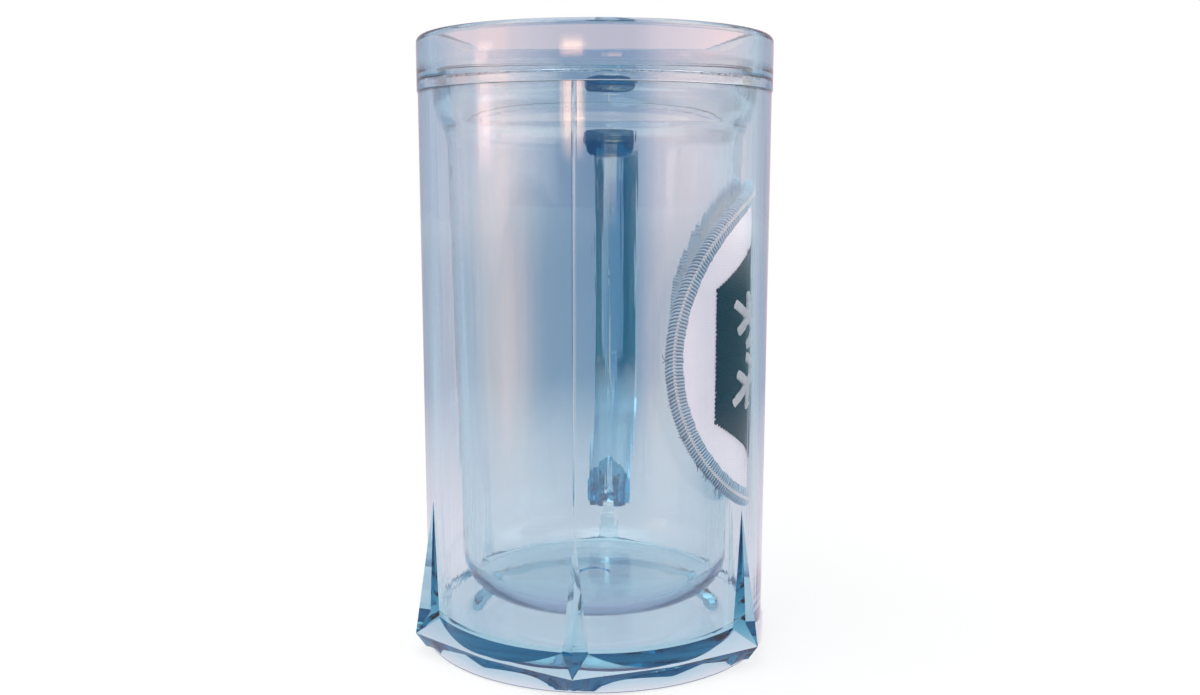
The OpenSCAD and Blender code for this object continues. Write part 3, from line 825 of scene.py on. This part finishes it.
buildPiece("patch_field_stitching", [fieldGrid()], threadMaterial("dark_fill_stitch", fieldLook),
           "patch_field", 50)


# Snowflake in satin stitch: each bar is a low dome carried along its line, with stepped thread ends


flakeSpec = {
    "bar": 2.6, "twigs": ((0.42, 0.26), (0.70, 0.22)),  # a twig's place on its arm and its length, as shares
    "stitch": 0.42, "sides": 12, "jag": 0.16, "sunk": 0.05, "endSlope": 6, "endLift": 0.2,
    "acrossPower": 0.7, "risePower": 0.6,
}


def satinBar(first, last, index):
    # dome: out by half the bar's width times soft cosine, up by soft sine; stitches end at uneven widths
    k = flakeSpec
    half = k["bar"] / 2
    way = (last - first) / np.linalg.norm(last - first)
    length = np.linalg.norm(last - first) + 2 * half
    count = int(length / k["stitch"]) * 2 + 2
    share = np.linspace(0, 1, count)
    side = np.linspace(0, 2 * np.pi, k["sides"] + 1)
    wide = half * (1 - k["jag"] * chance(np.floor(np.arange(count) / 2) + 90 * index, 3.3))
    wide = wide * np.where((share > 0) & (share < 1), 1, 0.0)
    out = wide[:, None] * soft(np.cos(side), k["acrossPower"])[None, :]
    lift = np.where(np.sin(side) > 0, soft(np.sin(side), k["risePower"]), 0)
    ends = np.minimum(1, k["endSlope"] * np.minimum(share, 1 - share) + k["endLift"])
    height = fieldR - k["sunk"] + (flakeR - fieldR + k["sunk"]) * np.clip(lift, 0, 1)[None, :] * ends[:, None]
    along = -half + share * length
    across = first[0] + way[0] * along[:, None] - way[1] * out
    up = first[1] + way[1] * along[:, None] + way[0] * out
    uv = np.stack(np.broadcast_arrays(out, along[:, None]), -1)
    return bent(across, up, height)[:, :-1], True, uv


def flakeGrids():
    arm = (flakeHigh[2] - flakeLow[2] - flakeSpec["bar"]) / 2
    bars = []
    for turn in np.radians(30 + 60 * np.arange(6)):
        along = np.array([np.cos(turn), np.sin(turn)])
        bars.append((0 * along, arm * along))
        for foot, reach in flakeSpec["twigs"]:
            for lean in (-np.pi / 3, np.pi / 3):
                twig = np.array([np.cos(turn + lean), np.sin(turn + lean)])
                bars.append((arm * foot * along, arm * foot * along + arm * reach * twig))
    return [satinBar(first, last, index) for index, (first, last) in enumerate(bars)]


buildPiece("patch_snowflake_satin", flakeGrids(), threadMaterial("white_satin_stitch", flakeLook),
           "patch_snowflake", 50)


# Floor, light and camera


stageSpec = {
    "floor": 3.0, "floorTone": (0.93, 0.93, 0.93, 1),
    "nearFade": 0.1, "farFade": 0.4, "wallFrom": 1.0, "wallTo": 2.5,  # distances from the axis, in metres
    "glow": 0.72, "glassGlow": 0.9,  # share of plain glow in the floor, seen directly and through glass
    "near": (1.03, 0.79, 0.85),  # the floor near the mug, as glass shows it
    "foot": ((0.033, 0.036), (0.09, 0.07)), "footFront": -0.03,  # and a ring just in front of its foot
    "footTone": (0.8, 0.75, 0.84),
    "fill": 0.9,  # level of the room on matte surfaces
    "windows": (  # azimuth, half width, fade, lowest, highest in degrees; then tone, level, gloss only
        (-98.0, 4.5, 4.0, 0.5, 4.0, (1.0, 0.52, 0.3, 1), 9.5, True),
        (-158.0, 3.0, 4.0, 0.0, 2.5, (1.0, 0.52, 0.45, 1), 4.5, True),
        (95.0, 5.0, 8.0, 1.5, 60.0, (1.0, 0.65, 0.4, 1), 0.24, False),
        (-10.0, 35.0, 15.0, 11.0, 60.0, (1.0, 0.7, 0.6, 1), 1.7, False)),
    "lowFade": 2, "highFade": 5,
    "ceiling": (1.1, 1.05, 1.15), "ceilingFrom": 25, "ceilingTo": 60,
}
wallLight = [  # azimuth in degrees from +X, and what gloss and glass see of the room there
    (-180, (2.1, 1.2, 1.1)), (-166, (2.0, 1.15, 1.05)), (-158, (3.1, 1.5, 1.15)), (-144, (3.1, 1.5, 1.15)),
    (-136, (1.5, 0.9, 0.85)), (-120, (0.6, 0.5, 0.6)), (-108, (0.08, 0.16, 0.3)), (-60, (0.08, 0.16, 0.3)),
    (-40, (1.8, 1.1, 1.05)), (-15, (2.3, 1.4, 1.35)), (8, (2.2, 1.4, 1.35)), (25, (1.8, 1.4, 1.35)),
    (40, (1.0, 0.95, 1.0)), (52, (0.65, 0.57, 0.66)), (72, (0.62, 0.53, 0.63)), (86, (0.85, 0.6, 0.66)),
    (91, (0.54, 0.48, 0.62)), (95, (0.44, 0.42, 0.58)), (99, (0.5, 0.46, 0.6)), (106, (0.7, 0.58, 0.67)),
    (122, (0.55, 0.52, 0.62)), (135, (0.6, 0.55, 0.65)), (150, (0.8, 0.7, 0.84)), (165, (1.1, 0.9, 0.98)),
    (180, (2.1, 1.2, 1.1)),
]
floorLight = [  # the same for the floor further off: dark in front, and dark by the patch
    (-180, (1.3, 0.9, 0.92)), (-165, (1.3, 0.9, 0.92)), (-150, (2.1, 1.1, 0.92)), (-140, (2.8, 1.4, 1.05)),
    (-132, (1.3, 0.75, 0.72)), (-118, (0.08, 0.26, 0.4)), (-60, (0.04, 0.26, 0.4)), (-42, (1.5, 0.92, 0.9)),
    (-24, (1.6, 1.0, 0.95)), (-10, (0.04, 0.07, 0.1)), (34, (0.02, 0.07, 0.1)), (44, (0.75, 0.75, 0.82)),
    (52, (0.55, 0.5, 0.62)), (72, (0.45, 0.42, 0.54)), (80, (0.98, 0.67, 0.68)), (85, (0.86, 0.61, 0.65)),
    (90, (0.38, 0.36, 0.52)), (95, (0.36, 0.35, 0.52)), (101, (0.42, 0.38, 0.53)), (110, (0.76, 0.58, 0.64)),
    (122, (0.42, 0.4, 0.54)), (135, (0.52, 0.5, 0.6)), (150, (0.72, 0.68, 0.8)), (165, (0.95, 0.8, 0.88)),
    (180, (1.3, 0.9, 0.92)),
]
brightest = max(max(tone) for angle, tone in wallLight + floorLight)


def roomTone(tone):  # as a share of the brightest level
    return (*(level / brightest for level in tone), 1)


def makeRoomGroup(name, light):  # tone by azimuth
    tree, add, given, out = newGroup(name, {"Away": "Vector"}, {"Color": "Color", "Azimuth": "Float"})
    away = add("ShaderNodeSeparateXYZ", {0: given["Away"]}).outputs
    azimuth = add.math("ARCTAN2", away["Y"], away["X"])
    ramp = add("ShaderNodeValToRGB", {0: add.ranged(azimuth, -np.pi, np.pi)})
    ramp.color_ramp.interpolation = "EASE"
    stops = ramp.color_ramp.elements
    while len(stops) < len(light):
        stops.new(0.5)
    for stop, (angle, tone) in zip(stops, light):
        stop.position = (angle + 180) / 360
        stop.color = roomTone(tone)
    tree.links.new(ramp.outputs[0], out["Color"])
    tree.links.new(azimuth, out["Azimuth"])
    return tree


wallGroup = makeRoomGroup("wallByAzimuth", wallLight)
floorGroup = makeRoomGroup("floorByAzimuth", floorLight)


def glassRay(add, seen):  # 1 for a ray that comes through glass or off gloss
    return add.math("MAXIMUM", seen["Is Transmission Ray"], seen["Is Glossy Ray"])


def makeFloor():
    g, half = stageSpec, stageSpec["floor"]
    mesh = bpy.data.meshes.new("studio_floor")
    corners = [(-half, -half, 0), (half, -half, 0), (half, half, 0), (-half, half, 0)]
    mesh.from_pydata(corners, [], [(0, 1, 2, 3)])
    floor = bpy.data.objects.new("studio_floor", mesh)
    scene.collection.objects.link(floor)
    material, add = newMaterial("pale_floor")
    seen = add("ShaderNodeLightPath").outputs
    place = add("ShaderNodeTexCoord").outputs["Object"]
    depth = add("ShaderNodeSeparateXYZ", {0: place}).outputs["Y"]
    far = add("ShaderNodeVectorMath", {0: place}, operation="LENGTH").outputs["Value"]
    away = add.ranged(far, g["nearFade"], g["farFade"])
    distant = add.mixed(add.ranged(far, g["wallFrom"], g["wallTo"]),
                        useGroup(add, floorGroup, {"Away": place})["Color"],
                        useGroup(add, wallGroup, {"Away": place})["Color"])
    ring = add.math("MULTIPLY", *(add.ranged(far, *span) for span in g["foot"]))
    ring = add.math("MULTIPLY", ring, add.ranged(depth, 0.0, g["footFront"]))
    close = add.mixed(ring, roomTone(g["near"]), roomTone(g["footTone"]))
    matte = add("ShaderNodeBsdfDiffuse", {"Color": g["floorTone"]})
    white = add("ShaderNodeEmission", {"Strength": 1.0})
    room = add("ShaderNodeEmission", {"Color": add.mixed(away, close, distant), "Strength": brightest})
    direct = add.math("MULTIPLY", seen["Is Camera Ray"], add.ranged(away, 0.0, 1.0, g["glow"], 1.0))
    plain = add("ShaderNodeMixShader", {0: direct, 1: matte.outputs[0], 2: white.outputs[0]})
    glass = add.math("MULTIPLY", glassRay(add, seen), g["glassGlow"])
    shown = add("ShaderNodeMixShader", {0: glass, 1: plain.outputs[0], 2: room.outputs[0]})
    add("ShaderNodeOutputMaterial", {"Surface": shown.outputs[0]})
    mesh.materials.append(material)
    floor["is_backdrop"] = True


def makeWorld():
    world = bpy.data.worlds.new("studio_room")
    scene.world = world
    world.use_nodes = True
    world.node_tree.nodes.clear()
    add = nodeMaker(world.node_tree)
    g = stageSpec
    sine = lambda degrees: np.sin(np.radians(degrees))
    seen = add("ShaderNodeLightPath").outputs
    look = add("ShaderNodeTexCoord").outputs["Generated"]
    up = add("ShaderNodeSeparateXYZ", {0: look}).outputs["Z"]
    wall = useGroup(add, wallGroup, {"Away": look})
    overhead = add.ranged(up, sine(g["ceilingFrom"]), sine(g["ceilingTo"]))
    tone = add.mixed(overhead, wall["Color"], roomTone(g["ceiling"]))
    room = add("ShaderNodeBackground", {"Color": tone, "Strength": brightest})
    for azimuth, half, fade, low, high, shine, level, glossOnly in g["windows"]:
        aside = add.math("ABSOLUTE", add.math("SUBTRACT", wall["Azimuth"], np.radians(azimuth)))
        inside = add.ranged(aside, np.radians(half), np.radians(half + fade), level, 0.0)
        above = add.ranged(up, sine(low), sine(low + g["lowFade"]))
        below = add.ranged(up, sine(high), sine(high + g["highFade"]), 1.0, 0.0)
        strength = add.math("MULTIPLY", add.math("MULTIPLY", inside, above), below)
        if glossOnly:
            strength = add.math("MULTIPLY", strength, seen["Is Glossy Ray"])
        window = add("ShaderNodeBackground", {"Color": shine, "Strength": strength})
        room = add("ShaderNodeAddShader", {0: room.outputs[0], 1: window.outputs[0]})
    fill = add("ShaderNodeBackground", {"Color": (1, 1, 1, 1), "Strength": g["fill"]})
    white = add("ShaderNodeBackground", {"Color": (1, 1, 1, 1), "Strength": 1.0})
    lit = add("ShaderNodeMixShader", {0: glassRay(add, seen), 1: fill.outputs[0], 2: room.outputs[0]})
    shown = add("ShaderNodeMixShader", {0: seen["Is Camera Ray"], 1: lit.outputs[0], 2: white.outputs[0]})
    add("ShaderNodeOutputWorld", {"Surface": shown.outputs[0]})


lampSpec = {"place": (-0.3, -0.3, 1.3), "aim": (0, 0, 0.05), "size": 1.0, "power": 6.0}


def makeLamp():
    light = bpy.data.lights.new("top_softbox", "AREA")
    light.shape, light.energy = "RECTANGLE", lampSpec["power"]
    light.size = light.size_y = lampSpec["size"]
    lamp = bpy.data.objects.new("top_softbox", light)
    scene.collection.objects.link(lamp)
    lamp.location = lampSpec["place"]
    direction = np.array(lampSpec["aim"]) - np.array(lampSpec["place"])
    yaw = np.arctan2(direction[1], direction[0])
    pitch = np.arctan2(direction[2], np.hypot(direction[0], direction[1]))
    lamp.rotation_euler = (np.pi / 2 + pitch, 0, yaw - np.pi / 2)
    lamp.visible_camera = False


cameraSpec = {
    "place": (0.0329, -0.3132, 0.1205), "pitch": -8.04, "turn": 6.0,
    "lens": 36.3, "sensor": 36.0, "shift": 0.0044, "clip": 0.01,
}


def makeCamera():
    lens = bpy.data.cameras.new("photo_camera")
    lens.lens, lens.sensor_width, lens.sensor_fit = cameraSpec["lens"], cameraSpec["sensor"], "HORIZONTAL"
    lens.shift_x, lens.clip_start = cameraSpec["shift"], cameraSpec["clip"]
    camera = bpy.data.objects.new("photo_camera", lens)
    scene.collection.objects.link(camera)
    camera.location = cameraSpec["place"]
    camera.rotation_euler = (np.radians(90 + cameraSpec["pitch"]), 0, np.radians(cameraSpec["turn"]))
    scene.camera = camera


bounces = 96  # the handle pipes light from one root to the other
scene.cycles.max_bounces = bounces
scene.cycles.transmission_bounces = bounces
scene.cycles.glossy_bounces = bounces
scene.cycles.blur_glossy = 0.0  # light keeps its way through the clear walls to the patch
makeFloor()
makeWorld()
makeLamp()
makeCamera()
print("stage ready")

sizes = {"cad": [list(map(float, corner)) for corner in cadBox],
         "visual": [list(map(float, corner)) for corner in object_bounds()]}
